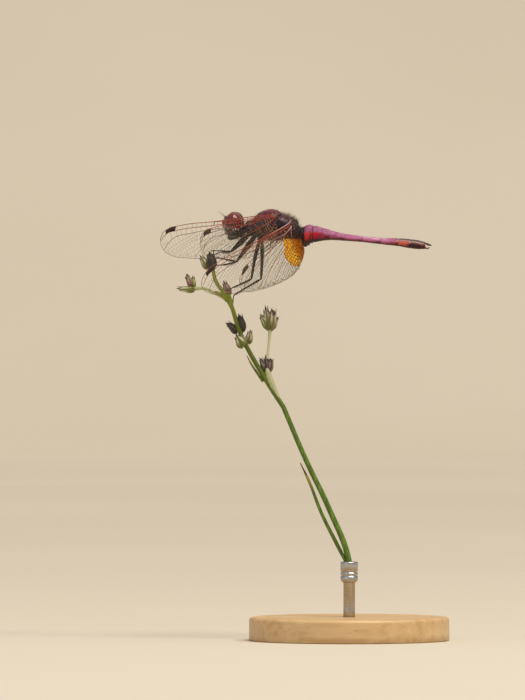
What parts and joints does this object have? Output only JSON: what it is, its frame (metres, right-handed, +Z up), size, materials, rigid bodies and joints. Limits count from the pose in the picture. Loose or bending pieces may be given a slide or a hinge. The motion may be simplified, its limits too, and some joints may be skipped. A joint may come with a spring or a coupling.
{
  "type": "dragonfly",
  "caption": "Still, life-size violet dropwing dragonfly gripping a cut rush stem with its wings swept forward and down, on a plain round display stand.",
  "frame": {"origin": "middle of the underside of the round stand base, which rests on the floor", "axes": "+Z up; the insect's head points along -X and its tail along +X, and its left side faces -Y"},
  "size_m": [0.0469, 0.0485, 0.0732],
  "materials": {
    "eye": "glossy, finely faceted",
    "head_cuticle": "metallic violet-red, semi-gloss",
    "thorax_cuticle": "dusty purple bloom over dark brown, pale hairs",
    "abdomen_cuticle": "magenta bloom over red",
    "tail_cuticle": "satin blackish brown",
    "wing_membrane": "clear film with red and dark veins",
    "leg_cuticle": "satin near-black",
    "rush_stem": "ribbed green",
    "rush_flower": "dry brown scales over olive capsules",
    "stand_wood": "oiled beech",
    "stand_steel": "satin steel"
  },
  "bodies": {
    "root": {"abdomen_01": "abdomen_cuticle", "abdomen_02": "abdomen_cuticle", "abdomen_03": "abdomen_cuticle", "abdomen_04": "abdomen_cuticle", "abdomen_05": "abdomen_cuticle", "abdomen_06": "abdomen_cuticle", "abdomen_07": "abdomen_cuticle", "abdomen_08": "abdomen_cuticle", "abdomen_09": "abdomen_cuticle", "abdomen_10": "abdomen_cuticle", "antenna_left": "leg_cuticle", "antenna_right": "leg_cuticle", "cercus_left": "tail_cuticle", "cercus_right": "tail_cuticle", "epiproct": "tail_cuticle", "eye_left": "eye", "eye_right": "eye", "face": "head_cuticle", "femur_fore_left": "leg_cuticle", "femur_fore_right": "leg_cuticle", "femur_hind_left": "leg_cuticle", "femur_hind_right": "leg_cuticle", "femur_middle_left": "leg_cuticle", "femur_middle_right": "leg_cuticle", "floret_base": "rush_flower", "floret_branch_end": "rush_flower", "floret_branch_upper": "rush_flower", "floret_crown": "rush_flower", "floret_crown_side": "rush_flower", "floret_fork": "rush_flower", "floret_low_left": "rush_flower", "floret_low_right": "rush_flower", "floret_middle": "rush_flower", "floret_middle_dark": "rush_flower", "floret_tall": "rush_flower", "foot_hind_left": "leg_cuticle", "foot_hind_right": "leg_cuticle", "head": "head_cuticle", "mouthparts": "head_cuticle", "neck": "thorax_cuticle", "shin_fore_left": "leg_cuticle", "shin_fore_right": "leg_cuticle", "shin_hind_left": "leg_cuticle", "shin_hind_right": "leg_cuticle", "shin_middle_left": "leg_cuticle", "shin_middle_right": "leg_cuticle", "stand_base": "stand_wood", "stand_rod": "stand_steel", "stem_blade": "rush_stem", "stem_bract": "rush_stem", "stem_branch": "rush_stem", "stem_lower": "rush_stem", "stem_pedicel": "rush_stem", "stem_sheath": "rush_stem", "stem_upper": "rush_stem", "thorax": "thorax_cuticle", "wing_fore_left": "wing_membrane", "wing_fore_right": "wing_membrane", "wing_hind_left": "wing_membrane", "wing_hind_right": "wing_membrane"}
  },
  "joints": []
}
